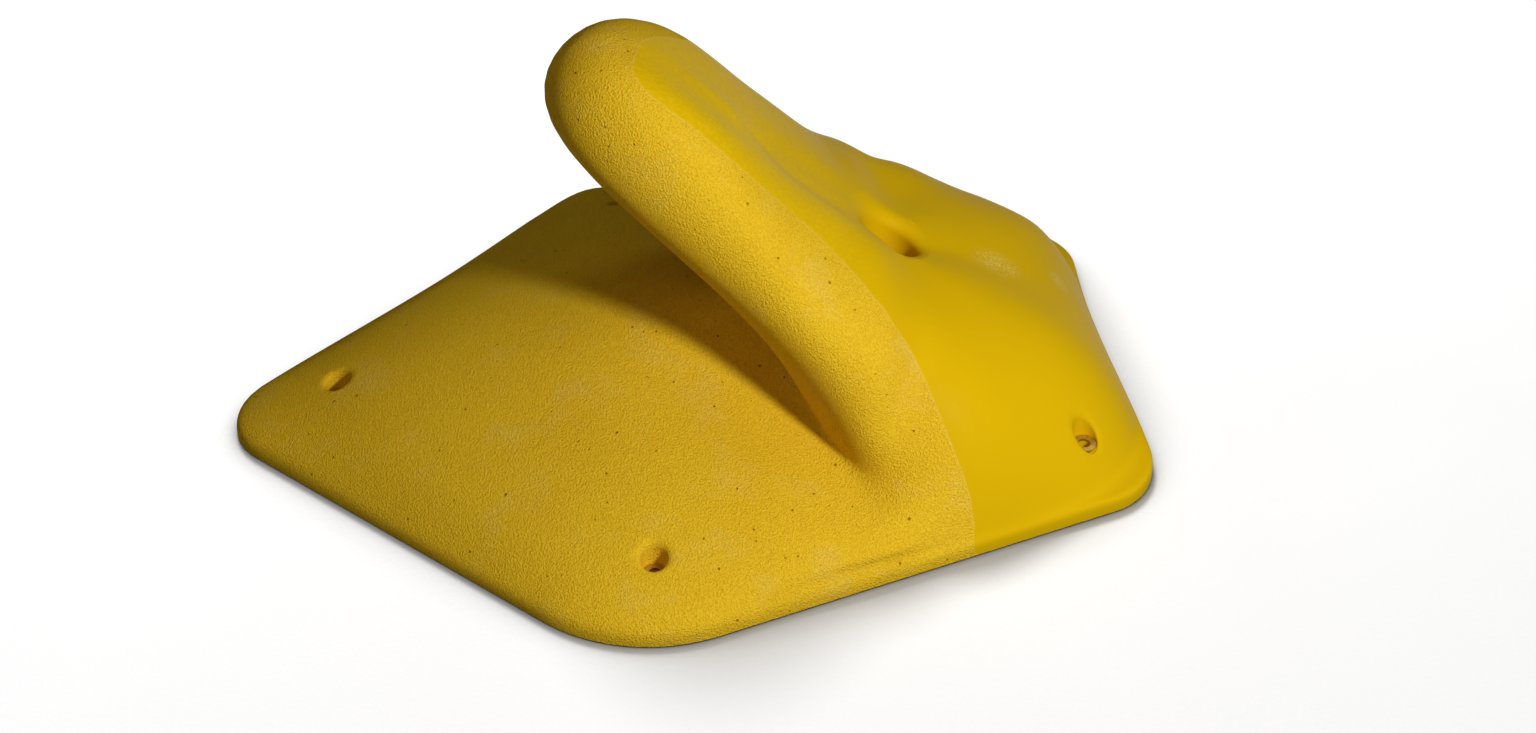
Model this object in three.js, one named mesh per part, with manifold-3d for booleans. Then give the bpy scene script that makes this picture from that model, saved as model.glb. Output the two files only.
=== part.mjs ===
// Moulded climbing volume: a low slab with a thick hood that rises from the tail and overhangs it.
// The body is a thin shell, open at the back. Units are mm, +Z points away from the wall,
// +X runs from the slab tip to the tail, and the form is the same on both sides of the XZ plane.

import * as THREE from 'three';
import { mergeVertices } from 'three/addons/utils/BufferGeometryUtils.js';
import Module from 'manifold-3d';

const wasm = await Module();
wasm.setup();

// Driving dimensions of the base outline, before its corners are rounded
const shellLength = 480;
const sideCornerReach = 205;
const sideCornerHalfWidth = 190;
const tailCornerReach = 482.5;
const tailCornerHalfWidth = 107.8;
const tipCornerRadius = 31;
const sideCornerRadius = 86;
const tailCornerRadius = 37;

// Driving dimensions of the form above the base
const hoodHeight = 225;
const crownReach = 364;
const crownHeight = 94.3;
const backRadius = 244;
const backFallShare = 0.7;
const shoulderHeight = 13;

// Skin, base rim and rounded base edge
const skinThickness = 9;
const rimWidth = 16;
const edgeLift = 7;
const slabEdgeInset = 5;
const slabEdgeHeight = 12;
const flankEdgeInset = 2;
const flankEdgeHeight = 9;
const crownFlat = 12;

// Bolt seat on the centre line
const boltReach = 357;
const boltPocketRadius = 14;
const boltMouthRounding = 9;
const boltRecessDepth = 29;
const boltHoleRadius = 5.5;
const boltBossRadius = 28;
const boltWasherRadius = 12.5;
const boltWasherThickness = 3;

// Screw recesses near the corners
const tipScrewReach = 70;
const sideScrewReach = 224;
const sideScrewOffset = 145;
const tailScrewReach = 443;
const tailScrewOffset = 92;
const screwPocketRadius = 6.4;
const screwMouthRounding = 3.2;
const screwRecessDepth = 13;
const screwHoleRadius = 3.2;
const screwBossRadius = 15;
const screwWasherRadius = 6;
const screwWasherThickness = 1.5;

// Share of its radius by which a mouth's rounding ends above the face, so that it runs out softly
const mouthRiseShare = 0.03;

// Clearance between a washer and its seat, and how far a cut runs past the body
const fitClearance = 0.3;
const cutOverrun = 20;

// How finely the body is divided
const outlineArcSteps = 24;
const outerStationSteps = [3, 4, 4, 3, 3, 3, 3, 3, 4, 4, 3, 2];
const innerStationSteps = [2, 2, 2, 2, 2, 2, 2, 2, 2, 2, 2, 1];
const tipSteps = 6;
const roundSides = 28;
const mouthSteps = 4;

// Stations that cross the hood's lip, from the centre line round to where the lip runs out.
// Each lies in an upright plane that starts on the centre line at an origin and turns by an angle.
// Its points are [distance out from the origin, height] in shares of shellLength and hoodHeight.
const lipStationShares = [
  {
    turn: 0,
    origin: 0.625,
    throatFloor: [0.09, 0.28],
    throatBack: [0.0125, 0.338],
    roof: [0.0875, 0.498],
    lipRoot: [0.167, 0.653],
    lipLow: [0.2625, 0.844],
    lipHigh: [0.179, 1.058],
    crest: [0.092, 0.876],
    channel: [0.04, 0.756],
  },
  {
    turn: 0.1,
    origin: 0.6313,
    throatFloor: [0.096, 0.276],
    throatBack: [0.021, 0.329],
    roof: [0.0875, 0.489],
    lipRoot: [0.158, 0.627],
    lipLow: [0.256, 0.818],
    lipHigh: [0.175, 1.036],
    crest: [0.09, 0.853],
    channel: [0.035, 0.738],
  },
  {
    turn: 0.2,
    origin: 0.65,
    throatFloor: [0.123, 0.24],
    throatBack: [0.05, 0.276],
    roof: [0.077, 0.387],
    lipRoot: [0.125, 0.471],
    lipLow: [0.231, 0.68],
    lipHigh: [0.171, 0.964],
    crest: [0.071, 0.764],
    channel: [0.031, 0.658],
  },
  {
    turn: 0.289,
    origin: 0.675,
    throatFloor: [0.152, 0.204],
    throatBack: [0.083, 0.231],
    roof: [0.096, 0.28],
    lipRoot: [0.123, 0.338],
    lipLow: [0.204, 0.52],
    lipHigh: [0.175, 0.804],
    crest: [0.0625, 0.662],
    channel: [0.027, 0.6],
  },
  {
    turn: 0.367,
    origin: 0.7042,
    throatFloor: [0.196, 0.164],
    throatBack: [0.15, 0.182],
    roof: [0.158, 0.209],
    lipRoot: [0.173, 0.267],
    lipLow: [0.204, 0.427],
    lipHigh: [0.183, 0.622],
    crest: [0.069, 0.578],
    channel: [0.031, 0.533],
  },
  {
    turn: 0.422,
    origin: 0.7188,
    throatFloor: [0.235, 0.129],
    throatBack: [0.206, 0.151],
    roof: [0.208, 0.173],
    lipRoot: [0.215, 0.227],
    lipLow: [0.229, 0.338],
    lipHigh: [0.1875, 0.529],
    crest: [0.079, 0.502],
    channel: [0.0375, 0.484],
  },
  {
    turn: 0.467,
    origin: 0.7292,
    throatFloor: [0.267, 0.107],
    throatBack: [0.254, 0.133],
    roof: [0.25, 0.16],
    lipRoot: [0.25, 0.2],
    lipLow: [0.246, 0.271],
    lipHigh: [0.202, 0.471],
    crest: [0.0875, 0.476],
    channel: [0.04, 0.458],
  },
];

// Stations behind the lip, where one flank falls from the crown to the base edge.
// Fullness is the share of a squared-off bulge in the flank, and power is how square it is.
const flankStationShares = [
  { turn: 0.517, origin: 0.7417, fullness: 0.93, power: 3.7 },
  { turn: 0.578, origin: 0.7521, fullness: 0.79, power: 5 },
  { turn: 0.644, origin: 0.7563, fullness: 0.58, power: 5.8 },
  { turn: 0.717, origin: 0.7583, fullness: 0.38, power: 8 },
  { turn: 0.811, origin: 0.7583, fullness: 0.3, power: 10 },
  { turn: 0.906, origin: 0.7583, fullness: 0.29, power: 11.5 },
  { turn: 1, origin: 0.7583, fullness: 0.29, power: 11.5 },
];

// Where the slab's points lie between the base edge and the throat, and the flank's points
// between the crown and the base edge
const slabPointShares = [0.13, 0.26, 0.5, 0.75];
const flankPointShares = [0.96, 0.935, 0.91, 0.88, 0.845, 0.8, 0.745, 0.68, 0.59, 0.475, 0.335, 0.2];

// Steps taken in each span of a section: fine round the base edge and the lip, coarse on the flats
const outerSpanSteps = [2, 2, 2, 1, 1, 1, 2, 2, 2, 4, 4, 4, 2, 1, 1, 1];
const innerSpanStart = 3.4;
const innerSpanSteps = 14;

const castYellow = { color: '#d9ad12', roughness: 0.7, metalness: 0 };
const washerSteel = { color: '#b9bcc0', roughness: 0.35, metalness: 0.9 };

// Base outline with rounded corners, as points in the XY plane
function roundedOutline() {
  const corners = [
    { x: 0, y: 0, radius: tipCornerRadius },
    { x: sideCornerReach, y: -sideCornerHalfWidth, radius: sideCornerRadius },
    { x: tailCornerReach, y: -tailCornerHalfWidth, radius: tailCornerRadius },
    { x: tailCornerReach, y: tailCornerHalfWidth, radius: tailCornerRadius },
    { x: sideCornerReach, y: sideCornerHalfWidth, radius: sideCornerRadius },
  ];
  const points = [];
  corners.forEach((corner, index) => {
    const here = new THREE.Vector2(corner.x, corner.y);
    const before = corners[(index + corners.length - 1) % corners.length];
    const after = corners[(index + 1) % corners.length];
    const toBefore = new THREE.Vector2(before.x, before.y).sub(here).normalize();
    const toAfter = new THREE.Vector2(after.x, after.y).sub(here).normalize();
    const halfAngle = Math.acos(toBefore.dot(toAfter)) / 2;
    const bisector = toBefore.clone().add(toAfter).normalize();
    const centre = here.clone().addScaledVector(bisector, corner.radius / Math.sin(halfAngle));
    const tangentLength = corner.radius / Math.tan(halfAngle);
    const start = here.clone().addScaledVector(toBefore, tangentLength).sub(centre);
    const sweep = Math.PI - 2 * halfAngle;
    for (let step = 0; step <= outlineArcSteps; step += 1) {
      const turned = start.clone().rotateAround(new THREE.Vector2(), (sweep * step) / outlineArcSteps);
      points.push(turned.add(centre));
    }
  });
  return points;
}

const outline = roundedOutline();

// Distance from a point on the centre line to the base outline, in a direction given by its angle
function outlineDistance(originX, angle) {
  const direction = new THREE.Vector2(-Math.cos(angle), -Math.sin(angle));
  const origin = new THREE.Vector2(originX, 0);
  let distance = 0;
  outline.forEach((start, index) => {
    const edge = outline[(index + 1) % outline.length].clone().sub(start);
    const offset = start.clone().sub(origin);
    const spread = direction.cross(edge);
    if (spread === 0) return;
    const along = offset.cross(edge) / spread;
    const onEdge = offset.cross(direction) / spread;
    if (onEdge >= 0 && onEdge <= 1) distance = Math.max(distance, along);
  });
  return distance;
}

// The line of the hood's back on the centre line, which eases from steep at the lip to the crown
function backLine(x) {
  const rise = crownReach - x;
  const height = crownHeight + backFallShare * rise + (rise * rise) / (2 * backRadius);
  return { height, fall: backFallShare + rise / backRadius };
}

function lipStation(shares) {
  const angle = shares.turn * Math.PI;
  const originX = shares.origin * shellLength;
  const reach = outlineDistance(originX, angle);
  const place = ([out, up]) => [out * shellLength, up * hoodHeight];
  const floor = place(shares.throatFloor);
  const slab = slabPointShares.map((share) => {
    const settled = 1 - (1 - share) ** 2;
    return [reach + (floor[0] - reach) * share, shoulderHeight + (floor[1] - shoulderHeight) * settled];
  });
  const lip = [
    shares.throatBack,
    shares.roof,
    shares.lipRoot,
    shares.lipLow,
    shares.lipHigh,
    shares.crest,
    shares.channel,
  ];
  const points = [...slab, floor, ...lip.map(place)];
  return { angle, originX, edgeInset: slabEdgeInset, edgeHeight: slabEdgeHeight, points };
}

function flankStation(shares) {
  const angle = shares.turn * Math.PI;
  const originX = shares.origin * shellLength;
  const reach = outlineDistance(originX, angle);
  const points = flankPointShares.map((share) => {
    const bulge = shares.fullness * (1 - share ** shares.power);
    const cone = (1 - shares.fullness) * (1 - share);
    return [share * reach, backLine(originX).height * (bulge + cone)];
  });
  return { angle, originX, edgeInset: flankEdgeInset, edgeHeight: flankEdgeHeight, points };
}

// Stations in order round one side, with one mirrored station past each end so that the form
// runs smoothly across the centre line
function stationsWithMirrors() {
  const stations = [...lipStationShares.map(lipStation), ...flankStationShares.map(flankStation)];
  const beforeFirst = { ...stations[1], angle: -stations[1].angle };
  const lastPair = stations[stations.length - 2];
  const afterLast = { ...lastPair, angle: 2 * Math.PI - lastPair.angle };
  return [beforeFirst, ...stations, afterLast];
}

const stations = stationsWithMirrors();
const stationCount = stations.length - 2;

// Weights of four neighbouring points in a smooth cubic blend
function blendWeights(t) {
  const rest = 1 - t;
  return [
    rest ** 3 / 6,
    (3 * t ** 3 - 6 * t ** 2 + 4) / 6,
    (-3 * t ** 3 + 3 * t ** 2 + 3 * t + 1) / 6,
    t ** 3 / 6,
  ];
}

function blend(values, weights) {
  return values.reduce((sum, value, index) => sum + value * weights[index], 0);
}

// The section at any place between stations, as the points that its smooth curve follows
function sectionAt(place) {
  const first = Math.min(Math.floor(place), stationCount - 2);
  const near = stations.slice(first, first + 4);
  const weights = blendWeights(place - first);
  const angle = blend(near.map((station) => station.angle), weights);
  const originX = blend(near.map((station) => station.originX), weights);
  const edgeInset = blend(near.map((station) => station.edgeInset), weights);
  const edgeHeight = blend(near.map((station) => station.edgeHeight), weights);
  const reach = outlineDistance(originX, angle);
  const back = backLine(originX);
  const rise = Math.cos(angle) * back.fall;
  const points = [[reach, 0], [reach, edgeLift], [reach - edgeInset, edgeHeight]];
  near[0].points.forEach((_, index) => {
    points.push([0, 1].map((axis) => blend(near.map((station) => station.points[index][axis]), weights)));
  });
  points.push([crownFlat, back.height + rise * crownFlat], [0, back.height]);
  const mirrored = (end, next) => [2 * end[0] - next[0], 2 * end[1] - next[1]];
  const last = points.length - 1;
  points.unshift(mirrored(points[0], points[1]));
  points.push(mirrored(points[last + 1], points[last]));
  return { angle, originX, reach, points };
}

// The spans of a section: each one blends as many of its points as there are weights
const lastSpan = sectionAt(0).points.length - blendWeights(0).length + 1;

// A point of the outer face: place runs round one side, span runs from the base edge to the back line
function facePoint(section, span) {
  const first = Math.min(Math.floor(span), lastSpan - 1);
  const near = section.points.slice(first, first + 4);
  const weights = blendWeights(span - first);
  const out = blend(near.map((point) => point[0]), weights);
  const up = blend(near.map((point) => point[1]), weights);
  const x = section.originX - out * Math.cos(section.angle);
  const y = -out * Math.sin(section.angle);
  return new THREE.Vector3(x, y, up);
}

const probe = 0.05;

// The unit vector that points out of the body at a place on its outer face
function faceNormal(place, span) {
  if (span === lastSpan) {
    const { fall } = backLine(sectionAt(place).originX);
    return new THREE.Vector3(fall, 0, 1).normalize();
  }
  const low = Math.max(span - probe, 0);
  const high = Math.min(span + probe, lastSpan);
  const section = sectionAt(place);
  const along = facePoint(section, high).sub(facePoint(section, low));
  const before = facePoint(sectionAt(Math.abs(place - probe)), span);
  const after = facePoint(sectionAt(Math.min(place + probe, stationCount - 1)), span);
  if (place < probe) before.y = -before.y;
  return along.cross(after.sub(before)).normalize().negate();
}

// Runs of equal steps, one run after another, each run one unit long
function evenSteps(start, steps) {
  const values = [start];
  steps.forEach((count, index) => {
    for (let step = 1; step <= count; step += 1) values.push(start + index + step / count);
  });
  return values;
}

// Places round one side: the steps start small, so that the slab's tight tip comes out round
function placeList(stationSteps) {
  const tip = Array.from({ length: tipSteps }, (_, index) => (index / tipSteps) ** 2);
  return [...tip, ...evenSteps(1, stationSteps)];
}

// Closes a body from columns of points that stand side by side all round it: the base is a fan,
// and so is the top where there is one
function closedLoft(columns, base, top) {
  const triangles = [];
  const addTriangle = (a, b, c) => triangles.push(a, b, c);
  columns.forEach((column, index) => {
    const next = columns[(index + 1) % columns.length];
    addTriangle(base, next[0], column[0]);
    for (let step = 0; step < column.length - 1; step += 1) {
      addTriangle(column[step], next[step], next[step + 1]);
      addTriangle(column[step], next[step + 1], column[step + 1]);
    }
    if (top) addTriangle(top, column[column.length - 1], next[next.length - 1]);
  });
  return solidFrom(new THREE.BufferGeometry().setFromPoints(triangles));
}

// Closes a body from columns along one side, each from the base to the back line on the centre line;
// the other side is their mirror image
function closedBody(columns) {
  const mirrored = columns.slice(1, -1).reverse().map((column) => {
    return column.map((point) => point.clone().setY(-point.y));
  });
  const base = new THREE.Vector3(crownReach, 0, columns[0][0].z);
  return closedLoft([...columns, ...mirrored], base);
}

// A manifold solid from a geometry whose repeated vertices are merged and whose slivers are left out
function solidFrom(geometry) {
  const bare = geometry.clone();
  bare.deleteAttribute('normal');
  bare.deleteAttribute('uv');
  const merged = mergeVertices(bare);
  const index = merged.index.array;
  const kept = [];
  for (let i = 0; i < index.length; i += 3) {
    const [a, b, c] = [index[i], index[i + 1], index[i + 2]];
    if (a !== b && b !== c && c !== a) kept.push(a, b, c);
  }
  const vertProperties = merged.attributes.position.array;
  return new wasm.Manifold(new wasm.Mesh({ numProp: 3, vertProperties, triVerts: Uint32Array.from(kept) }));
}

function geometryFrom(solid) {
  const mesh = solid.getMesh();
  const geometry = new THREE.BufferGeometry();
  geometry.setAttribute('position', new THREE.BufferAttribute(mesh.vertProperties, 3));
  geometry.setIndex(new THREE.BufferAttribute(mesh.triVerts, 1));
  geometry.computeVertexNormals();
  return geometry;
}

// A solid of revolution about an upright axis, from [radius, height] pairs that start and end on it
function turned(pairs, x, y) {
  const profile = pairs.map(([radius, height]) => new THREE.Vector2(radius, height));
  const lathe = new THREE.LatheGeometry(profile, roundSides);
  lathe.rotateX(Math.PI / 2);
  lathe.translate(x, y, 0);
  return lathe;
}

function outerBody() {
  const spans = evenSteps(0, outerSpanSteps);
  const columns = placeList(outerStationSteps).map((place) => {
    const section = sectionAt(place);
    return spans.map((span) => facePoint(section, span));
  });
  return closedBody(columns);
}

// The hollow: parallel to the outer face at the skin's thickness, and open below the base rim
function hollowBody() {
  const columns = placeList(innerStationSteps).map((place) => {
    const section = sectionAt(place);
    const inner = section.reach - rimWidth;
    const foot = [-cutOverrun, 0].map((height) => {
      return new THREE.Vector3(
        section.originX - inner * Math.cos(section.angle),
        -inner * Math.sin(section.angle),
        height,
      );
    });
    const onCentreLine = place === 0 || place === stationCount - 1;
    const cover = Array.from({ length: innerSpanSteps + 1 }, (_, index) => {
      const span = innerSpanStart + ((lastSpan - innerSpanStart) * index) / innerSpanSteps;
      const point = facePoint(section, span).addScaledVector(faceNormal(place, span), -skinThickness);
      if (onCentreLine || index === innerSpanSteps) point.y = 0;
      return point;
    });
    return [...foot, ...cover];
  });
  return closedBody(columns);
}

const outerSolid = outerBody();
const outerMesh = new THREE.Mesh(geometryFrom(outerSolid));

// Height of the outer face above the base plane, found by looking down from above; beside the body
// there is only the base plane itself
function faceHeight(x, y) {
  const start = new THREE.Vector3(x, y, hoodHeight + cutOverrun);
  const ray = new THREE.Raycaster(start, new THREE.Vector3(0, 0, -1));
  const hit = ray.intersectObject(outerMesh)[0];
  return hit ? hit.point.z : 0;
}

const boltSeat = faceHeight(boltReach, 0) - boltRecessDepth;

const screws = [
  { name: 'screw_washer_slab_tip', x: tipScrewReach, y: 0 },
  { name: 'screw_washer_near_side', x: sideScrewReach, y: -sideScrewOffset },
  { name: 'screw_washer_far_side', x: sideScrewReach, y: sideScrewOffset },
  { name: 'screw_washer_near_tail', x: tailScrewReach, y: -tailScrewOffset },
  { name: 'screw_washer_far_tail', x: tailScrewReach, y: tailScrewOffset },
].map((screw) => ({ ...screw, seat: faceHeight(screw.x, screw.y) - screwRecessDepth }));

function post(radius, x, y) {
  const foot = -cutOverrun;
  const top = hoodHeight + cutOverrun;
  return solidFrom(turned([[0, foot], [radius, foot], [radius, top], [0, top]], x, y));
}

// What a recess takes out of the body: a bore, a flat seat, a straight pocket, and a mouth that is
// rounded over and follows the face all round
function recessCutter({ x, y, seat, boreRadius, pocketRadius, mouthRounding }) {
  const mouth = Array.from({ length: mouthSteps + 1 }, (_, step) => {
    const turn = (Math.PI / 2) * (1 - step / mouthSteps);
    const radius = pocketRadius + mouthRounding * (1 - Math.sin(turn));
    return { radius, aboveFace: mouthRounding * (mouthRiseShare - 1 + Math.cos(turn)) };
  });
  const rows = [
    { radius: boreRadius, height: -cutOverrun },
    { radius: boreRadius, height: seat },
    { radius: pocketRadius, height: seat },
    ...mouth,
    { radius: pocketRadius + mouthRounding, aboveFace: cutOverrun },
  ];
  const columns = Array.from({ length: roundSides }, (_, side) => {
    const angle = (2 * Math.PI * side) / roundSides;
    return rows.map(({ radius, height, aboveFace }) => {
      const rowX = x + radius * Math.cos(angle);
      const rowY = y + radius * Math.sin(angle);
      return new THREE.Vector3(rowX, rowY, height ?? faceHeight(rowX, rowY) + aboveFace);
    });
  });
  const base = new THREE.Vector3(x, y, -cutOverrun);
  const top = new THREE.Vector3(x, y, faceHeight(x, y) + cutOverrun);
  return closedLoft(columns, base, top);
}

function shellSolid() {
  let hollow = hollowBody().subtract(post(boltBossRadius, boltReach, 0));
  screws.forEach((screw) => {
    hollow = hollow.subtract(post(screwBossRadius, screw.x, screw.y));
  });
  const boltRecess = {
    x: boltReach,
    y: 0,
    seat: boltSeat,
    boreRadius: boltHoleRadius,
    pocketRadius: boltPocketRadius,
    mouthRounding: boltMouthRounding,
  };
  let shell = outerSolid.subtract(hollow).subtract(recessCutter(boltRecess));
  screws.forEach(({ x, y, seat }) => {
    const boreRadius = screwHoleRadius;
    const pocketRadius = screwPocketRadius;
    const mouthRounding = screwMouthRounding;
    shell = shell.subtract(recessCutter({ x, y, seat, boreRadius, pocketRadius, mouthRounding }));
  });
  return shell;
}

function washer(name, outerRadius, holeRadius, thickness, x, y, seat) {
  const low = seat + fitClearance;
  const high = low + thickness;
  const pairs = [
    [holeRadius, low],
    [outerRadius, low],
    [outerRadius, high],
    [holeRadius, high],
    [holeRadius, low],
  ];
  const mesh = new THREE.Mesh(turned(pairs, x, y), new THREE.MeshStandardMaterial(washerSteel));
  mesh.name = name;
  return mesh;
}

const shell = new THREE.Mesh(geometryFrom(shellSolid()), new THREE.MeshStandardMaterial(castYellow));
shell.name = 'shell';

const outlineBox = new THREE.Box2().setFromPoints(outline);
const middle = outlineBox.getCenter(new THREE.Vector2());

const group = new THREE.Group();
group.add(shell);
group.add(washer(
  'bolt_seat_washer',
  boltWasherRadius,
  boltHoleRadius,
  boltWasherThickness,
  boltReach,
  0,
  boltSeat,
));
screws.forEach((screw) => {
  group.add(washer(
    screw.name,
    screwWasherRadius,
    screwHoleRadius,
    screwWasherThickness,
    screw.x,
    screw.y,
    screw.seat,
  ));
});
group.position.set(-middle.x, -middle.y, 0);

export default group;
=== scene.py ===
import math

import bmesh
import bpy
from mathutils import Matrix, Vector
from mathutils.bvhtree import BVHTree
from mathutils.kdtree import KDTree


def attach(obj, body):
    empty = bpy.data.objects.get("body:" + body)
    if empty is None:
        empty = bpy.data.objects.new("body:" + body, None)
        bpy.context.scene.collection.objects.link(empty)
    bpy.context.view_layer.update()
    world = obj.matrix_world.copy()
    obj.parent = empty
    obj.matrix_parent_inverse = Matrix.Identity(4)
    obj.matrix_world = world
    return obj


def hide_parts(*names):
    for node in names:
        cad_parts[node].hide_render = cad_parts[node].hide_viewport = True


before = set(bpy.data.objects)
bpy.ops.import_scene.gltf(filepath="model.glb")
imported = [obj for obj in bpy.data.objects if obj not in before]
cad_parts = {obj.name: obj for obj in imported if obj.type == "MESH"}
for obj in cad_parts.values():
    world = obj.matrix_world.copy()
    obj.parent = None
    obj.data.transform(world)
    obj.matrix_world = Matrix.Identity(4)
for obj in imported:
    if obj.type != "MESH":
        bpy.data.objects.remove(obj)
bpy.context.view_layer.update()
print("stage: frame loaded")

mm = 0.001
frameShift = 248.552  # mm from the tip corner to the middle of the part
weld = 1e-6  # metres within which vertices are one


def toRow(x, y, z):
    return Vector(((x - frameShift) * mm, y * mm, z * mm))


def toLinear(hexColour):
    channels = [int(hexColour[i:i + 2], 16) / 255 for i in (1, 3, 5)]
    return (*[c / 12.92 if c <= 0.04045 else ((c + 0.055) / 1.055) ** 2.4 for c in channels], 1.0)


def addNode(tree, kind, inputs=None, **settings):
    node = tree.nodes.new(kind)
    for name, value in settings.items():
        setattr(node, name, value)
    for key, value in (inputs or {}).items():
        if isinstance(value, bpy.types.NodeSocket):
            tree.links.new(value, node.inputs[key])
        else:
            node.inputs[key].default_value = value
    return node


# The shell's surface follows upright sections that turn round the hood, as a boat's frames do.
# A lip row is (degrees, origin on the centre line, points of (distance out, height)), and a flank row is
# (degrees, origin, fullness, power) of a rounded falling curve.
shell = {
    "length": 480,
    "corners": ((0, 0, 31), (205, -190, 86), (482.5, -107.8, 37), (482.5, 107.8, 37), (205, 190, 86)),
    "crownReach": 364,
    "crownHeight": 94.3,
    "backRadius": 244,
    "backFall": 0.7,
    "crownFlat": 12,
    "shoulderHeight": 13,
    "edgeLift": 7,
    "slabEdge": (5, 12),
    "flankEdge": (2, 9),
    "slabShares": (0.13, 0.26, 0.5, 0.75),
    "flankShares": (0.96, 0.935, 0.91, 0.88, 0.845, 0.8, 0.745, 0.68, 0.59, 0.475, 0.335, 0.2),
    "lip": (
        (0, 300, ((43, 63), (6, 76), (42, 112), (80, 147), (127, 192), (86, 235), (44, 200), (19, 178))),
        (18, 303, ((46, 62), (10, 74), (42, 110), (76, 141), (125, 189), (84, 234), (43, 194), (20, 172))),
        (36, 312, ((59, 54), (24, 62), (37, 87), (60, 106), (111, 159), (82, 221), (36, 175), (20, 153))),
        (52, 324, ((73, 46), (40, 52), (46, 63), (59, 76), (98, 123), (85, 181), (36, 152), (19, 138))),
        (66, 338, ((94, 37), (72, 41), (76, 47), (83, 60), (99, 99), (88, 135), (41, 135), (21, 126))),
        (76, 345, ((113, 29), (99, 34), (100, 39), (103, 51), (108, 77), (92, 110), (50, 119), (26, 119))),
        (84, 350, ((128, 24), (122, 30), (120, 36), (120, 45), (112, 61), (102, 97), (60, 112), (33, 116))),
    ),
    "flank": (
        (93, 356, 0.98, 3.4), (104, 361, 0.8, 5.2), (116, 363, 0.81, 3.5), (129, 364, 0.75, 2.8),
        (146, 364, 0.53, 4.4), (163, 364, 0.44, 5.8), (180, 364, 0.39, 7.3),
    ),
    "stepsPerStation": 14,
    "stepsPerSpan": 8,
    "skinThickness": 9,
    "rimWidth": 16,
    "innerSpanStart": 3.4,
    "innerSteps": (6, 40),
    "below": 20,
    "sharpAngle": math.radians(45),
}


def roundedOutline(corners, arcSteps=40):
    points = []
    for index, (x, y, radius) in enumerate(corners):
        here = Vector((x, y))
        toBefore = (Vector(corners[index - 1][:2]) - here).normalized()
        toAfter = (Vector(corners[(index + 1) % len(corners)][:2]) - here).normalized()
        half = math.acos(toBefore.dot(toAfter)) / 2
        centre = here + (toBefore + toAfter).normalized() * radius / math.sin(half)
        start = here + toBefore * radius / math.tan(half) - centre
        for step in range(arcSteps + 1):
            points.append(centre + Matrix.Rotation((math.pi - 2 * half) * step / arcSteps, 2) @ start)
    return points


outline = roundedOutline(shell["corners"])


def outlineDistance(originX, angle):
    direction = Vector((-math.cos(angle), -math.sin(angle)))
    origin = Vector((originX, 0))
    best = 0
    for index, start in enumerate(outline):
        edge = outline[(index + 1) % len(outline)] - start
        spread = direction.cross(edge)
        if spread:
            along = (start - origin).cross(edge) / spread
            onEdge = (start - origin).cross(direction) / spread
            if 0 <= onEdge <= 1:
                best = max(best, along)
    return best


# Height and slope of the hood's back on the centre line
def backLine(x):
    rise = shell["crownReach"] - x
    fall, radius = shell["backFall"], shell["backRadius"]
    return shell["crownHeight"] + fall * rise + rise * rise / (2 * radius), fall + rise / radius


def makeStations():
    stations = []
    for degrees, origin, lip in shell["lip"]:
        angle = math.radians(degrees)
        reach = outlineDistance(origin, angle)
        floor = lip[0]
        low = shell["shoulderHeight"]
        slab = [
            (reach + (floor[0] - reach) * s, low + (floor[1] - low) * (1 - (1 - s) ** 2))
            for s in shell["slabShares"]
        ]
        stations.append((angle, origin, *shell["slabEdge"], [*slab, *lip]))
    for degrees, origin, fullness, power in shell["flank"]:
        angle = math.radians(degrees)
        reach = outlineDistance(origin, angle)
        height = backLine(origin)[0]
        points = [
            (s * reach, height * (fullness * (1 - s ** power) + (1 - fullness) * (1 - s)))
            for s in shell["flankShares"]
        ]
        stations.append((angle, origin, *shell["flankEdge"], points))
    before = (-stations[1][0], *stations[1][1:])
    after = (2 * math.pi - stations[-2][0], *stations[-2][1:])
    return [before, *stations, after]


stations = makeStations()
lastPlace = len(stations) - 3
lastSpan = len(shell["flankShares"]) + 4


def blendWeights(t):
    rest = 1 - t
    return (
        rest ** 3 / 6,
        (3 * t ** 3 - 6 * t ** 2 + 4) / 6,
        (-3 * t ** 3 + 3 * t ** 2 + 3 * t + 1) / 6,
        t ** 3 / 6,
    )


def blended(values, weights):
    return sum(value * weight for value, weight in zip(values, weights))


sectionCache = {}


def sectionAt(place):
    key = round(place, 6)
    if key not in sectionCache:
        first = min(int(place), lastPlace - 1)
        near = stations[first:first + 4]
        weights = blendWeights(place - first)
        angle, origin, inset, edge = (blended([s[i] for s in near], weights) for i in range(4))
        reach = outlineDistance(origin, angle)
        height, fall = backLine(origin)
        flat = shell["crownFlat"]
        points = [(reach, 0), (reach, shell["edgeLift"]), (reach - inset, edge)]
        for index in range(len(near[0][4])):
            points.append(tuple(blended([s[4][index][axis] for s in near], weights) for axis in (0, 1)))
        points += [(flat, height + math.cos(angle) * fall * flat), (0, height)]
        points.insert(0, tuple(2 * a - b for a, b in zip(points[0], points[1])))
        points.append(tuple(2 * a - b for a, b in zip(points[-1], points[-2])))
        sectionCache[key] = (angle, origin, reach, points)
    return sectionCache[key]


def facePoint(place, span):
    angle, origin, _, points = sectionAt(place)
    first = min(int(span), lastSpan - 1)
    weights = blendWeights(span - first)
    out, up = (blended([p[axis] for p in points[first:first + 4]], weights) for axis in (0, 1))
    return Vector((origin - out * math.cos(angle), -out * math.sin(angle), up))


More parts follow.
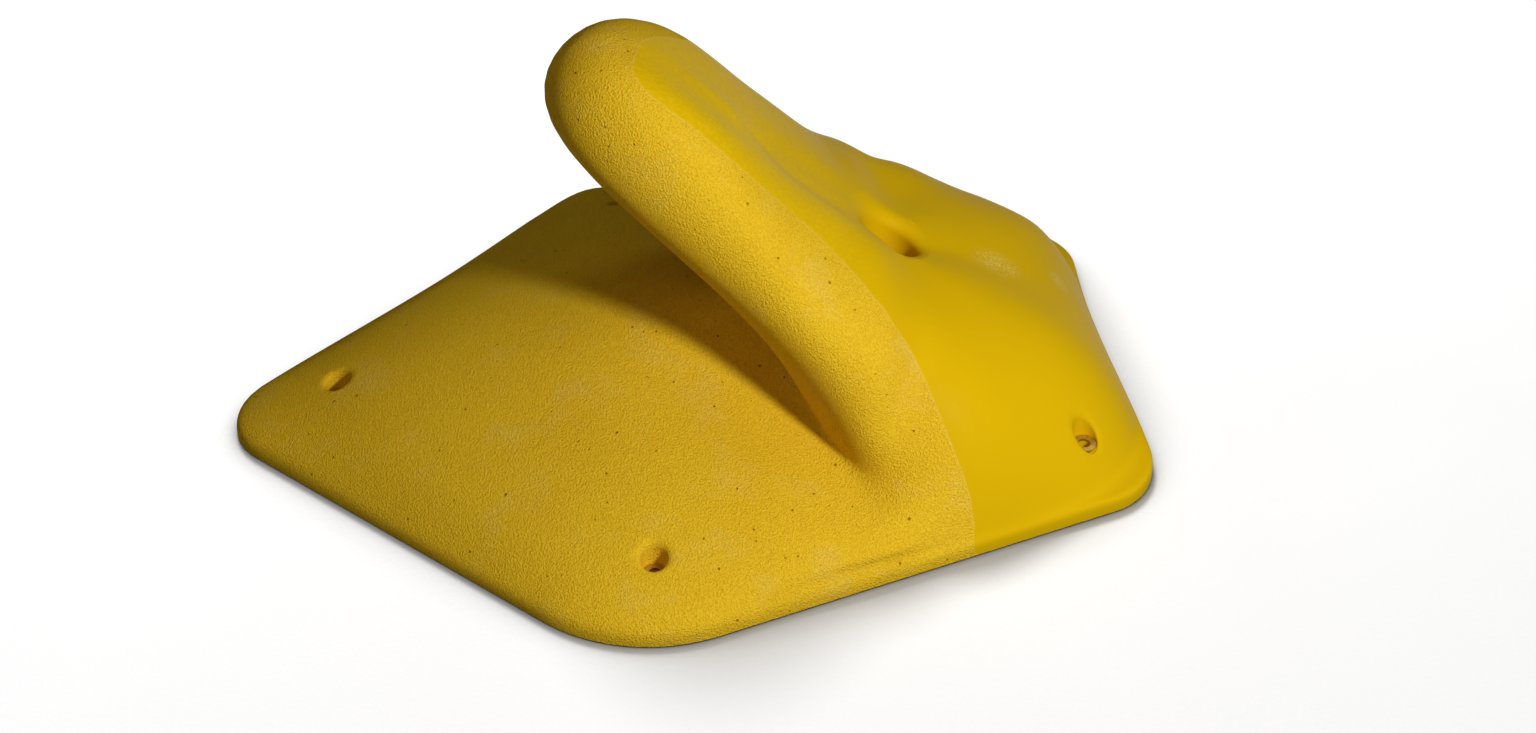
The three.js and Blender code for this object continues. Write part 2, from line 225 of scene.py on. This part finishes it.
def faceNormal(place, span, probe=0.05):
    if span > lastSpan - probe:
        return Vector((backLine(sectionAt(place)[1])[1], 0, 1)).normalized()
    along = facePoint(place, span + probe) - facePoint(place, max(span - probe, 0))
    before = facePoint(abs(place - probe), span)
    after = facePoint(min(place + probe, lastPlace), span)
    if place < probe:
        before.y = -before.y
    return -along.cross(after - before).normalized()


# A grid whose vertices are moved by a rule of (column share, row share)
def movedGrid(columns, rows, rule):
    bm = bmesh.new()
    bmesh.ops.create_grid(bm, x_segments=columns, y_segments=rows, size=0.5)
    for vert in bm.verts:
        vert.co = rule(vert.co.x + 0.5, vert.co.y + 0.5)
    return bm


# Mirrors a near half across the centre line, closes the base and points the faces outwards
def closedHalves(bm):
    geometry = bm.verts[:] + bm.edges[:] + bm.faces[:]
    bmesh.ops.mirror(bm, geom=geometry, matrix=Matrix.Identity(4), merge_dist=weld, axis="Y")
    bmesh.ops.remove_doubles(bm, verts=bm.verts, dist=2 * weld)
    bmesh.ops.dissolve_degenerate(bm, edges=bm.edges, dist=weld)
    bmesh.ops.holes_fill(bm, edges=[e for e in bm.edges if e.is_boundary], sides=0)
    bmesh.ops.recalc_face_normals(bm, faces=bm.faces)


def objectFrom(bm, name, material):
    mesh = bpy.data.meshes.new(name)
    bm.to_mesh(mesh)
    bm.free()
    mesh.materials.append(material)
    mesh.shade_smooth()
    piece = bpy.data.objects.new(name, mesh)
    bpy.context.scene.collection.objects.link(piece)
    return piece


def placeOf(share):
    place = share * lastPlace
    return place * place if place < 1 else place  # small steps at the slab's tight tip


def outerBody():
    bm = movedGrid(
        lastPlace * shell["stepsPerStation"],
        lastSpan * shell["stepsPerSpan"],
        lambda u, v: toRow(*facePoint(placeOf(u), v * lastSpan)),
    )
    closedHalves(bm)
    return bm


# The hollow runs parallel to the outer face, and its first two rows are the straight base rim
def hollowBody():
    perStation, coverSteps = shell["innerSteps"]
    rows = coverSteps + 2
    start = shell["innerSpanStart"]

    def rule(u, v):
        place = placeOf(u)
        row = round(v * rows)
        angle, origin, reach, _ = sectionAt(place)
        if row < 2:
            inner = reach - shell["rimWidth"]
            x, y = origin - inner * math.cos(angle), -inner * math.sin(angle)
            point = Vector((x, y, (row - 1) * shell["below"]))
        else:
            span = start + (lastSpan - start) * (row - 2) / coverSteps
            point = facePoint(place, span) - faceNormal(place, span) * shell["skinThickness"]
        if row == rows or place in (0, lastPlace):
            point.y = 0
        return toRow(*point)

    bm = movedGrid(lastPlace * perStation, rows, rule)
    closedHalves(bm)
    return bm


# Recesses at (x, y, seat height): a straight bore to the wall, a wider pocket for the head, and a
# soft lip that runs out into the face round it
recesses = {
    "bolt": {"at": ((357, 0, 70.3),), "bore": 5.5, "pocket": 14, "lip": 9, "boss": 28},
    "screw": {
        "at": ((70, 0, 15.15), (224, -145, 12.49), (224, 145, 12.49), (443, -92, 24.41), (443, 92, 24.41)),
        "bore": 3.2, "pocket": 6.4, "lip": 3.2, "boss": 15,
    },
    "sides": 48,
    "lipSteps": 6,
    "runOut": math.radians(9),
    "flare": 0.2,  # the cut goes on above the face by this share of the lip
    "above": 40,
    "postHeights": (-40, 260),
    "castHeight": 400,
}


# Gives a function that finds the face's height in mm over a point
def heightFinder(bm):
    tree = BVHTree.FromBMesh(bm)

    def heightAt(x, y):
        hit = tree.ray_cast(toRow(x, y, recesses["castHeight"]), Vector((0, 0, -1)))[0]
        return hit.z / mm
    return heightAt


# A closed turned solid about an upright axis, from a rule of (row, angle) that gives (radius, height)
def turnedSolid(x, y, rows, rule):
    sides = recesses["sides"]

    def place(u, v):
        angle = u * 2 * math.pi
        radius, height = rule(round(v * (rows - 1)), angle)
        return toRow(x + radius * math.cos(angle), y + radius * math.sin(angle), height)

    bm = movedGrid(sides, rows - 1, place)
    bmesh.ops.remove_doubles(bm, verts=bm.verts, dist=weld)
    bmesh.ops.holes_fill(bm, edges=[e for e in bm.edges if e.is_boundary], sides=0)
    bmesh.ops.recalc_face_normals(bm, faces=bm.faces)
    return bm


def recessSolid(x, y, seat, kind, heightAt):
    pocket, lip = kind["pocket"], kind["lip"]
    lipSteps = recesses["lipSteps"]
    straight = [(kind["bore"], -shell["below"]), (kind["bore"], seat), (pocket, seat)]
    settle = lip * (1 - math.cos(recesses["runOut"]))

    def rule(row, angle):
        if row < len(straight):
            return straight[row]
        step = row - len(straight)
        if step <= lipSteps:
            turn = math.radians(90) + (recesses["runOut"] - math.radians(90)) * step / lipSteps
            radius = pocket + lip * (1 - math.sin(turn))
            drop = lip * (1 - math.cos(turn)) - settle
        else:
            radius = pocket + lip * (1 + recesses["flare"])
            drop = -lip * recesses["flare"] if step == lipSteps + 1 else -recesses["above"]
        face = heightAt(x + radius * math.cos(angle), y + radius * math.sin(angle))
        return radius, face - drop
    return turnedSolid(x, y, len(straight) + lipSteps + 3, rule)


def cylinderSolid(x, y, radius, low, high):
    return turnedSolid(x, y, 2, lambda row, angle: (radius, (low, high)[row]))


def boolean(piece, tool, operation):
    modifier = piece.modifiers.new(tool.name, "BOOLEAN")
    modifier.operation = operation
    modifier.object = tool
    modifier.solver = "MANIFOLD"
    modifier.material_mode = "TRANSFER"


def applied(piece):
    depsgraph = bpy.context.evaluated_depsgraph_get()
    mesh = bpy.data.meshes.new_from_object(piece.evaluated_get(depsgraph))
    piece.modifiers.clear()
    piece.data = mesh
    return piece


# The gloss coat's masked edge on the outer face, in rows of (place between the stations, span up
# the section on the near half, span on the far half)
coat = {
    "edge": (
        (0, 12.49, 12.47), (0.3, 12.42, 12.51), (0.64, 12.32, 12.55), (1.05, 12.14, 12.54),
        (1.3, 12.09, 12.52), (1.5, 12.08, 12.5), (1.84, 12.13, 12.45), (2.13, 12.21, 12.3),
        (2.42, 12.3, 12.1), (2.7, 12.4, 11.9), (3, 12.5, 11.7), (3.33, 12.6, 11.6),
        (3.7, 12.68, 11.5), (4.15, 12.74, 11.5), (4.71, 12.8, 11.5), (5.35, 12.79, 11.5),
        (5.93, 12.63, 11.5), (6.17, 12.47, 11.4), (6.38, 12.24, 11.3), (6.57, 11.97, 11.1),
        (6.73, 11.61, 10.9), (6.86, 11.21, 10.7), (6.97, 10.74, 10.4), (7.05, 10.24, 10.1),
        (7.12, 9.68, 9.7), (7.19, 9.07, 9.1), (7.32, 7.82, 7.82), (7.45, 6.41, 6.41),
        (7.5, 5.61, 5.61), (7.54, 4.75, 4.75), (7.55, 2.92, 2.92), (7.55, 0, 0),
    ),
    "stepsPerLeg": 16,
}


def treeOf(points):
    tree = KDTree(len(points))
    for index, point in enumerate(points):
        tree.insert(point, index)
    tree.balance()
    return tree


def coatSpan(place, side):
    for before, after in zip(coat["edge"], coat["edge"][1:]):
        if place < after[0]:
            share = (place - before[0]) / (after[0] - before[0])
            return before[side] + (after[side] - before[side]) * share
    return 0


# Writes how far each vertex lies from the coat's edge, in mm, positive on the grip texture
def markCoat(mesh):
    columns, rows = lastPlace * shell["stepsPerStation"], lastSpan * shell["stepsPerSpan"]
    spans = [j * lastSpan / rows for j in range(rows + 1)]
    face = [(placeOf(i / columns), span) for i in range(columns + 1) for span in spans]
    faceTree = treeOf([facePoint(place, span) for place, span in face])
    edge = []
    for side in (1, 2):
        for before, after in zip(coat["edge"], coat["edge"][1:]):
            for step in range(coat["stepsPerLeg"]):
                place = before[0] + (after[0] - before[0]) * step / coat["stepsPerLeg"]
                point = facePoint(place, coatSpan(place, side))
                edge.append(Vector((point.x, point.y if side == 1 else -point.y, point.z)))
    edgeTree = treeOf(edge)
    layer = mesh.attributes.new("coatEdge", "FLOAT", "POINT")
    for vert, value in zip(mesh.vertices, layer.data):
        point = Vector((vert.co.x / mm + frameShift, vert.co.y / mm, vert.co.z / mm))
        side = 1 if point.y < 0 else 2
        place, span = face[faceTree.find(Vector((point.x, -abs(point.y), point.z)))[1]]
        distance = edgeTree.find(point)[2]
        value.value = -distance if span > coatSpan(place, side) else distance


# The casting is not quite even: on its far half the hood leans out and down, and a few soft
# moves of (centre, radius, shift) bring the far outline to the real one
uneven = {
    "lean": 13.5,
    "leanReach": 40,
    "leanHeights": (60, 120),
    "leanDirection": (0.081, 0.762, -0.642),
    "baseHeight": 10,  # the flat base stays flat, and the moves lift only what is above it
    "screwReach": (10, 28),  # the screw recesses stay upright over their washers
    "moves": (
        ((364, 78, 86), 40, (0, 1, 4)),
        ((306, 82, 134), 50, (0, 0, 2)),
        ((482, 40, 5), 120, (-5, 0, 0)),
        ((476, 98, 4), 60, (0, -3, 0)),
        ((452, 75, 38), 55, (0, 0, 4)),
        ((115, 97, 12), 120, (2.6, -2.8, 0)),
        ((208, 172, 10), 36, (0, 0, 5)),
    ),
}


def smoothShare(value, low, high):
    share = min(max((value - low) / (high - low), 0), 1)
    return share * share * (3 - 2 * share)


def unevenShape(mesh):
    screws = [toRow(x, y, 0).xy for x, y, _ in recesses["screw"]["at"]]
    for vert in mesh.vertices:
        start = vert.co.copy()
        share = smoothShare(start.y / mm, 0, uneven["leanReach"])
        share *= smoothShare(start.z / mm, *uneven["leanHeights"])
        vert.co += Vector(uneven["leanDirection"]) * (share * uneven["lean"] * mm)
        free = smoothShare(min((start.xy - screw).length for screw in screws) / mm, *uneven["screwReach"])
        for centre, radius, shift in uneven["moves"]:
            share = free * smoothShare(radius * mm - (start - toRow(*centre)).length, 0, radius * mm)
            vert.co += Vector(shift) * (share * mm)
            vert.co.z -= shift[2] * share * mm * (1 - smoothShare(start.z / mm, 0, uneven["baseHeight"]))


# Sizes and heights are in metres, because object coordinates are. A range of three is (from, to,
# share reached), over the noise that drives it.
finish = {
    "glossColour": "#dcb207",
    "streakColour": "#ecc40f",
    "sandColour": "#f9ce2d",
    # This dark colour serves both the random darker patches and the painted shade in the grit's hollows
    "darkPatchAndGritShadeColour": "#d99e0b",
    "pitDirtAndShadeColour": "#bd7c0a",
    # Darker colour in the pits: partly dirt, partly painted shade
    "chalkColour": "#f5df8e",
    "gritSize": 0.0009,
    "gritHeight": 0.0012,
    "peelSize": 0.006,
    "peelShare": 0.2,
    "pitSpacing": 0.0062,
    "pitRadius": 0.00055,
    "pitSpread": 1.6,
    "pitRim": 0.6,
    "pitRarity": 0.35,
    "pitDepth": -0.6,
    "patchSize": 0.07,
    "patchRange": (0.45, 0.8, 0.25),
    "smudgeSize": 0.03,
    "smudgeRange": (0.52, 0.85, 0.3),
    # Painted shade in the grit's hollows, over the grit noise
    "gritShadeRange": (0.35, 0.6, 0.5),
    "streakWidth": 0.0016,
    "streakLength": 0.05,
    "streakRange": (0.35, 0.7, 0.6),
    "streakDepth": 0.03,
    "smoothLevel": 0.59,
    "brushedFrom": (0.08, 0.13),
    "backSlope": math.radians(45),
    "scratchTurn": 0.9,
    "scratchScale": (250.0, 1600.0, 1600.0),
    "scratchRange": (0.5, 0.62),
    "scuffs": (((412, 1, 67), (19, 14, 15)), ((450, 13, 44.5), (9, 10, 9))),  # (centre, reach) in mm
    "edgeWander": 1.6,  # mm, as are the next three
    "edgeSoft": (0.4, 1.2),
    "edgeMiddle": 0.8,
    "edgeLineFade": (0.9, 0.2),
    "edgeLineShare": 0.1,
    "wanderScale": 70.0,
    "glossRoughness": 0.38,
    "glossSwing": (-0.05, 0.08),
    "sandRoughness": 0.85,
    "specularLevel": 0.008,
}


# Polyurethane casting: one yellow skin, gritty and pitted where it was cast against sanded foam,
# and smooth with faint brush streaks and a satin shine where the gloss coat was masked on
def castYellow():
    material = bpy.data.materials.new("castPolyurethane")
    material.use_nodes = True
    tree = material.node_tree
    tree.nodes.clear()
    place = addNode(tree, "ShaderNodeTexCoord").outputs["Object"]

    # The masked edge wanders by under a millimetre and shows as a thin pale line
    edge = addNode(tree, "ShaderNodeAttribute", attribute_name="coatEdge").outputs["Fac"]
    wander = addNode(tree, "ShaderNodeTexNoise", {
        "Vector": place, "Scale": finish["wanderScale"], "Detail": 2.0,
    })
    edge = addNode(tree, "ShaderNodeMath", {
        0: wander.outputs["Fac"], 1: finish["edgeWander"], 2: edge,
    }, operation="MULTIPLY_ADD").outputs[0]
    soft = finish["edgeSoft"]
    sand = addNode(tree, "ShaderNodeMapRange", {0: edge, 1: soft[0], 2: soft[1]}).outputs[0]
    offEdge = addNode(tree, "ShaderNodeMath", {0: edge, 1: finish["edgeMiddle"]}, operation="SUBTRACT")
    offEdge = addNode(tree, "ShaderNodeMath", {0: offEdge.outputs[0]}, operation="ABSOLUTE").outputs[0]
    fade = finish["edgeLineFade"]
    edgeLine = addNode(tree, "ShaderNodeMapRange", {
        0: offEdge, 1: fade[0], 2: fade[1], 4: finish["edgeLineShare"],
    }).outputs[0]

    # Grit, a coarser peel under it, and the pits that burst bubbles leave
    grit = addNode(tree, "ShaderNodeTexNoise", {
        "Vector": place, "Scale": 1 / finish["gritSize"], "Detail": 2.0, "Roughness": 0.6,
    }).outputs["Fac"]
    peel = addNode(tree, "ShaderNodeTexNoise", {
        "Vector": place, "Scale": 1 / finish["peelSize"], "Detail": 2.0,
    }).outputs["Fac"]
    bubbles = addNode(tree, "ShaderNodeTexVoronoi", {"Vector": place, "Scale": 1 / finish["pitSpacing"]})
    pitShare = finish["pitRadius"] / finish["pitSpacing"]
    chance = addNode(tree, "ShaderNodeSeparateColor", {"Color": bubbles.outputs["Color"]})
    reach = addNode(tree, "ShaderNodeMapRange", {
        0: chance.outputs[0], 1: finish["pitRarity"], 2: 1.0, 4: pitShare * finish["pitSpread"],
    })
    depth = addNode(tree, "ShaderNodeMath", {
        0: reach.outputs[0], 1: bubbles.outputs["Distance"],
    }, operation="SUBTRACT")
    pit = addNode(tree, "ShaderNodeMapRange", {
        0: depth.outputs[0], 1: 0.0, 2: pitShare * finish["pitRim"],
    }).outputs[0]
    pit = addNode(tree, "ShaderNodeMath", {0: pit, 1: sand}, operation="MULTIPLY").outputs[0]

    # Brush streaks run down the hood's back
    along = addNode(tree, "ShaderNodeMapping", {
        "Vector": place,
        "Rotation": (0, finish["backSlope"], 0),
        "Scale": (1 / finish["streakLength"], 1 / finish["streakWidth"], 1 / finish["streakWidth"]),
    })
    streak = addNode(tree, "ShaderNodeTexNoise", {
        "Vector": along.outputs[0], "Scale": 1.0, "Detail": 3.0,
    }).outputs["Fac"]
    level = addNode(tree, "ShaderNodeSeparateXYZ", {0: place})
    low, high = finish["brushedFrom"]
    onHood = addNode(tree, "ShaderNodeMapRange", {0: level.outputs["Z"], 1: low, 2: high}).outputs[0]
    brushed = addNode(tree, "ShaderNodeMath", {0: streak, 1: onHood}, operation="MULTIPLY").outputs[0]

    # The height that drives the bump: grit and pits on the sanded side, streaks on the glossy side
    rough = addNode(tree, "ShaderNodeMath", {
        0: peel, 1: finish["peelShare"], 2: grit,
    }, operation="MULTIPLY_ADD").outputs[0]
    smooth = addNode(tree, "ShaderNodeMath", {
        0: brushed, 1: finish["streakDepth"], 2: finish["smoothLevel"],
    }, operation="MULTIPLY_ADD").outputs[0]
    height = addNode(tree, "ShaderNodeMix", {0: sand, 2: smooth, 3: rough}).outputs[0]
    height = addNode(tree, "ShaderNodeMath", {
        0: pit, 1: finish["pitDepth"], 2: height,
    }, operation="MULTIPLY_ADD").outputs[0]
    bump = addNode(tree, "ShaderNodeBump", {
        "Height": height, "Distance": finish["gritHeight"], "Strength": 1.0,
    })

    # How far each covers: broad patches and chalk smudges as stains, and painted shade in the grit's
    # hollows, where its bump is low
    low, high, share = finish["patchRange"]
    patches = addNode(tree, "ShaderNodeTexNoise", {
        "Vector": place, "Scale": 1 / finish["patchSize"], "Detail": 4.0,
    }).outputs["Fac"]
    patches = addNode(tree, "ShaderNodeMapRange", {0: patches, 1: low, 2: high, 4: share}).outputs[0]
    low, high, share = finish["smudgeRange"]
    smudge = addNode(tree, "ShaderNodeTexNoise", {
        "Vector": place, "Scale": 1 / finish["smudgeSize"], "Detail": 6.0, "Roughness": 0.65,
    }).outputs["Fac"]
    smudge = addNode(tree, "ShaderNodeMapRange", {0: smudge, 1: low, 2: high, 4: share}).outputs[0]
    low, high, share = finish["gritShadeRange"]
    # Painted shade: the colour darkens where the grit's bump is low
    paintedGritShade = addNode(tree, "ShaderNodeMapRange", {0: grit, 1: low, 2: high, 3: share, 4: 0.0}).outputs[0]
    low, high, share = finish["streakRange"]
    faint = addNode(tree, "ShaderNodeMapRange", {0: brushed, 1: low, 2: high, 4: share}).outputs[0]

    # The textured side's colour, with painted shade in the grit's hollows and a darker colour in the pits
    # that is partly dirt and partly painted shade, then the glossy side's with its scuffs, then the line
    # between them
    darkPatchAndGritShade, chalk = toLinear(finish["darkPatchAndGritShadeColour"]), toLinear(finish["chalkColour"])
    colour = toLinear(finish["sandColour"])
    pitDirtAndShadeColour = toLinear(finish["pitDirtAndShadeColour"])
    for cover, tint in ((patches, darkPatchAndGritShade), (smudge, chalk), (paintedGritShade, darkPatchAndGritShade), (pit, pitDirtAndShadeColour)):
        mix = addNode(tree, "ShaderNodeMix", {0: cover, 6: colour, 7: tint}, data_type="RGBA")
        colour = mix.outputs[2]
    gloss = addNode(tree, "ShaderNodeMix", {
        0: faint, 6: toLinear(finish["glossColour"]), 7: toLinear(finish["streakColour"]),
    }, data_type="RGBA").outputs[2]
    scratch = addNode(tree, "ShaderNodeMapping", {
        "Vector": place,
        "Rotation": (0, finish["backSlope"], finish["scratchTurn"]),
        "Scale": finish["scratchScale"],
    })
    scratch = addNode(tree, "ShaderNodeTexNoise", {
        "Vector": scratch.outputs[0], "Scale": 1.0, "Detail": 2.0,
    }).outputs["Fac"]
    low, high = finish["scratchRange"]
    scratch = addNode(tree, "ShaderNodeMapRange", {0: scratch, 1: low, 2: high}).outputs[0]
    for centre, size in finish["scuffs"]:
        near = addNode(tree, "ShaderNodeMapping", {
            "Vector": place, "Location": toRow(*centre), "Scale": [length * mm for length in size],
        }, vector_type="TEXTURE")
        near = addNode(tree, "ShaderNodeTexGradient", {
            "Vector": near.outputs[0],
        }, gradient_type="SPHERICAL")
        worn = addNode(tree, "ShaderNodeMath", {0: near.outputs["Fac"], 1: scratch}, operation="MULTIPLY")
        mix = addNode(tree, "ShaderNodeMix", {0: worn.outputs[0], 6: gloss, 7: chalk}, data_type="RGBA")
        gloss = mix.outputs[2]
    mix = addNode(tree, "ShaderNodeMix", {0: sand, 6: gloss, 7: colour}, data_type="RGBA")
    colour = addNode(tree, "ShaderNodeMix", {
        0: edgeLine, 6: mix.outputs[2], 7: chalk,
    }, data_type="RGBA").outputs[2]

    less, more = finish["glossSwing"]
    roughness = addNode(tree, "ShaderNodeMapRange", {
        0: streak, 1: 0.3, 2: 0.7, 3: finish["glossRoughness"] + less, 4: finish["glossRoughness"] + more,
    }).outputs[0]
    roughness = addNode(tree, "ShaderNodeMix", {
        0: sand, 2: roughness, 3: finish["sandRoughness"],
    }).outputs[0]
    shader = addNode(tree, "ShaderNodeBsdfPrincipled", {
        "Base Color": colour,
        "Roughness": roughness,
        "Specular IOR Level": finish["specularLevel"],
        "Normal": bump.outputs[0],
    })
    addNode(tree, "ShaderNodeOutputMaterial", {"Surface": shader.outputs[0]})
    return material


# A socket that is 1 for what the eye sees, straight, mirrored or through glass, and 0 for lighting
def seenDirectly(tree):
    path = addNode(tree, "ShaderNodeLightPath")
    seen = addNode(tree, "ShaderNodeMath", {
        0: path.outputs["Is Camera Ray"], 1: path.outputs["Is Glossy Ray"],
    }, operation="MAXIMUM")
    return addNode(tree, "ShaderNodeMath", {
        0: seen.outputs[0], 1: path.outputs["Is Transmission Ray"],
    }, operation="MAXIMUM").outputs[0]


# A procedural surface of two colours: soft patches of one over the other, and a fine bump
def mottled(name, look):
    material = bpy.data.materials.new(name)
    material.use_nodes = True
    tree = material.node_tree
    tree.nodes.clear()
    place = addNode(tree, "ShaderNodeTexCoord").outputs["Object"]
    patches = addNode(tree, "ShaderNodeTexNoise", {
        "Vector": place, "Scale": 1 / look["patch"], "Detail": 5.0,
    }).outputs["Fac"]
    share = addNode(tree, "ShaderNodeMapRange", {0: patches, 1: 0.35, 2: 0.65}).outputs[0]
    colour = addNode(tree, "ShaderNodeMix", {
        0: share, 6: toLinear(look["colour"]), 7: toLinear(look["second"]),
    }, data_type="RGBA").outputs[2]
    if "unseen" in look:
        colour = addNode(tree, "ShaderNodeMix", {
            0: seenDirectly(tree), 6: toLinear(look["unseen"]), 7: colour,
        }, data_type="RGBA").outputs[2]
    # Painted shadow: the colour is darkened by ambient occlusion where other things stand close
    if "paintedShadow" in look:
        reach, closed, opened, dark = look["paintedShadow"]
        free = addNode(tree, "ShaderNodeAmbientOcclusion", {"Distance": reach}, samples=16).outputs["AO"]
        free = addNode(tree, "ShaderNodeMapRange", {
            0: free, 1: closed, 2: opened, 3: dark, 4: 1.0,
        }).outputs[0]
        scaled = addNode(tree, "ShaderNodeVectorMath", {0: colour, "Scale": free}, operation="SCALE")
        colour = scaled.outputs[0]
    grain = addNode(tree, "ShaderNodeTexNoise", {
        "Vector": place, "Scale": 1 / look["grain"], "Detail": 3.0,
    }).outputs["Fac"]
    bump = addNode(tree, "ShaderNodeBump", {"Height": grain, "Distance": look["height"]})
    low, high = look["roughness"]
    roughness = addNode(tree, "ShaderNodeMapRange", {0: grain, 1: 0.3, 2: 0.7, 3: low, 4: high})
    shader = addNode(tree, "ShaderNodeBsdfPrincipled", {
        "Base Color": colour,
        "Metallic": look["metallic"],
        "Roughness": roughness.outputs[0],
        "Normal": bump.outputs[0],
    })
    addNode(tree, "ShaderNodeOutputMaterial", {"Surface": shader.outputs[0]})
    return material


# Bare polyurethane inside the hollow: duller and browner than the face, cloudy, slightly lumpy
rawLook = {
    "colour": "#d3a31c", "second": "#b9860f", "patch": 0.035, "grain": 0.004, "height": 0.0012,
    "roughness": (0.6, 0.8), "metallic": 0.0,
}
# Yellow-passivated zinc on the steel washers: brassy, cloudy and dull, so that it hides in the yellow
zincLook = {
    "colour": "#d2ab3c", "second": "#a88a3e", "patch": 0.003, "grain": 0.0008, "height": 0.00004,
    "roughness": (0.28, 0.42), "metallic": 0.7,
}
# Seamless paper floor: pale and matt, with a painted shadow that greys it where the part stands close over
# it, and dim for the light that it throws back on the part. The painted shadow is (reach, share of open sky
# that is darkest, share that is clear, how dark).
floorLook = {
    "colour": "#f3f3f3", "second": "#efefef", "patch": 0.4, "grain": 0.002, "height": 0.0001,
    "roughness": (0.9, 0.95), "metallic": 0.0, "unseen": "#4a4a4a", "paintedShadow": (0.045, 0.6, 0.93, 0.4),
    "halfSize": 6, "below": 0.0005,
}
yellow = castYellow()
rawCasting = mottled("rawCasting", rawLook)
zinc = mottled("yellowPassivatedZinc", zincLook)

outer = outerBody()
heightAt = heightFinder(outer)
shellSkin = objectFrom(outer, "shell_skin", yellow)
print("stage: outer face,", len(shellSkin.data.polygons), "faces")

hollow = objectFrom(hollowBody(), "hollow", rawCasting)
tools = []
for kindName in ("bolt", "screw"):
    kind = recesses[kindName]
    for index, (x, y, _) in enumerate(kind["at"]):
        column = cylinderSolid(x, y, kind["boss"], *recesses["postHeights"])
        post = objectFrom(column, f"post_{kindName}_{index}", rawCasting)
        boolean(hollow, post, "DIFFERENCE")
        tools.append(post)
applied(hollow)
boolean(shellSkin, hollow, "DIFFERENCE")
for kindName in ("bolt", "screw"):
    kind = recesses[kindName]
    for index, (x, y, seat) in enumerate(kind["at"]):
        pocket = recessSolid(x, y, seat, kind, heightAt)
        cut = objectFrom(pocket, f"recess_{kindName}_{index}", yellow)
        boolean(shellSkin, cut, "DIFFERENCE")
        tools.append(cut)
applied(shellSkin)
shellSkin.data.set_sharp_from_angle(angle=shell["sharpAngle"])
for tool in [hollow, *tools]:
    bpy.data.objects.remove(tool)
markCoat(shellSkin.data)
unevenShape(shellSkin.data)
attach(shellSkin, "root")
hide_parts("shell")
print("stage: shell,", len(shellSkin.data.polygons), "faces")

washers = [node for name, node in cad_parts.items() if name != "shell"]
for washer in washers:
    washer.data.materials.clear()
    washer.data.materials.append(zinc)

floorMesh = bmesh.new()
bmesh.ops.create_grid(floorMesh, x_segments=1, y_segments=1, size=floorLook["halfSize"])
bmesh.ops.translate(floorMesh, verts=floorMesh.verts, vec=(0, 0, -floorLook["below"]))
floor = objectFrom(floorMesh, "floor", mottled("paleFloor", floorLook))

# The photograph's camera, in metres, with its own right, up and back as directions
camera = {
    "place": (-0.044253, -0.848313, 0.728680),
    "right": (0.99374292, -0.11146878, -0.00705083),
    "up": (0.07693698, 0.63739654, 0.7666853),
    "back": (-0.0809673, -0.76243056, 0.64198438),
    "lens": 49.14,
    "sensor": 36,
}
lensData = bpy.data.cameras.new("camera")
lensData.lens = camera["lens"]
lensData.sensor_width = camera["sensor"]
viewer = bpy.data.objects.new("camera", lensData)
turn = Matrix((camera["right"], camera["up"], camera["back"])).transposed().to_4x4()
viewer.matrix_world = Matrix.Translation(camera["place"]) @ turn
bpy.context.scene.collection.objects.link(viewer)
bpy.context.scene.camera = viewer


partLit = bpy.data.collections.new("partLit")
floorLit = bpy.data.collections.new("floorLit")
for piece in [shellSkin, *washers]:
    partLit.objects.link(piece)
floorLit.objects.link(floor)

# Round lamps: (place, target, size, watts, colour, what it lights)
white = (1.0, 1.0, 1.0)
warm = (1.0, 0.84, 0.6)
lamps = {
    "keyLamp": ((0.41, -0.64, 0.63), (0.0, 0.0, 0.06), 0.12, 6.3, white, partLit),
    "fillLamp": ((-0.45, -0.75, 0.95), (0.0, 0.0, 0.05), 0.8, 1.6, warm, partLit),
    "topLamp": ((0.25, 0.3, 1.1), (0.0, 0.0, 0.05), 0.4, 0.6, white, partLit),
    "floorLamp": ((0.0, 0.0, 4.0), (0.0, 0.0, 0.0), 1.6, 86.0, white, floorLit),
    "floorBackLamp": ((-0.2, 2.2, 3.1), (0.0, 0.0, 0.0), 1.0, 105.0, white, floorLit),
}
for name, (place, target, size, watts, colour, lit) in lamps.items():
    data = bpy.data.lights.new(name, "AREA")
    data.shape = "DISK"
    data.size = size
    data.energy = watts
    data.color = colour
    lamp = bpy.data.objects.new(name, data)
    lamp.location = place
    lamp.rotation_euler = (Vector(place) - Vector(target)).to_track_quat("Z", "Y").to_euler()
    bpy.context.scene.collection.objects.link(lamp)
    lamp.light_linking.receiver_collection = lit

# White to look at, and nearly dark as a light
worldLight = 0.04
world = bpy.data.worlds.new("studio")
bpy.context.scene.world = world
world.use_nodes = True
tree = world.node_tree
tree.nodes.clear()
level = addNode(tree, "ShaderNodeMapRange", {0: seenDirectly(tree), 3: worldLight, 4: 1.0})
background = addNode(tree, "ShaderNodeBackground", {
    "Color": (1, 1, 1, 1), "Strength": level.outputs[0],
})
addNode(tree, "ShaderNodeOutputWorld", {"Surface": background.outputs[0]})

bpy.context.scene.view_settings.view_transform = "Standard"
print("stage: floor, camera and light")
